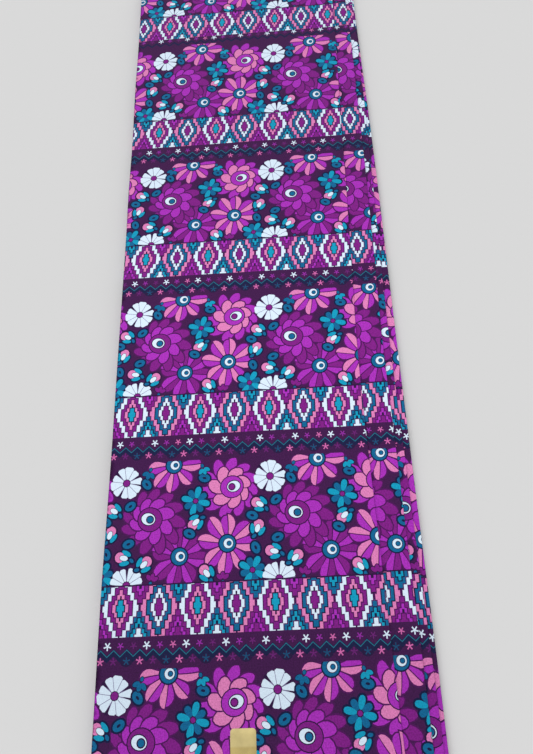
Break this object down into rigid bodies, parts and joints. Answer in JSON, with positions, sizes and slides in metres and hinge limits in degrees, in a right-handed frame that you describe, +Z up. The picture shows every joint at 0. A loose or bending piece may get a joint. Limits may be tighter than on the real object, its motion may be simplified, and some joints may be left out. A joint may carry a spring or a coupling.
{
  "type": "folded printed cotton fabric",
  "caption": "Length of printed cotton fabric folded back and forth into a long flat strip, with stepped folds along one side and layered edges, and a small plain sticker.",
  "frame": {"origin": "centre of the bounding box in plan, on the plane that the strip rests on", "axes": "+X across the strip towards its stepped folds, +Y along it to the far end, +Z up"},
  "size_m": [0.359, 1.19, 0.016],
  "materials": {
    "top_cloth": "smooth plain-woven cotton with a multicolour print and a faint waxy sheen",
    "edge_cloth": "smooth plain-woven cotton with a multicolour print and a faint waxy sheen",
    "inner_cloth": "edges of folded printed cotton",
    "gold_foil": "satin gold foil sticker, plain"
  },
  "bodies": {
    "root": {"top_leaf": "top_cloth", "second_leaf": "edge_cloth", "third_leaf": "edge_cloth", "fourth_leaf": "edge_cloth", "inner_layers": "inner_cloth", "gold_sticker": "gold_foil"}
  },
  "joints": []
}
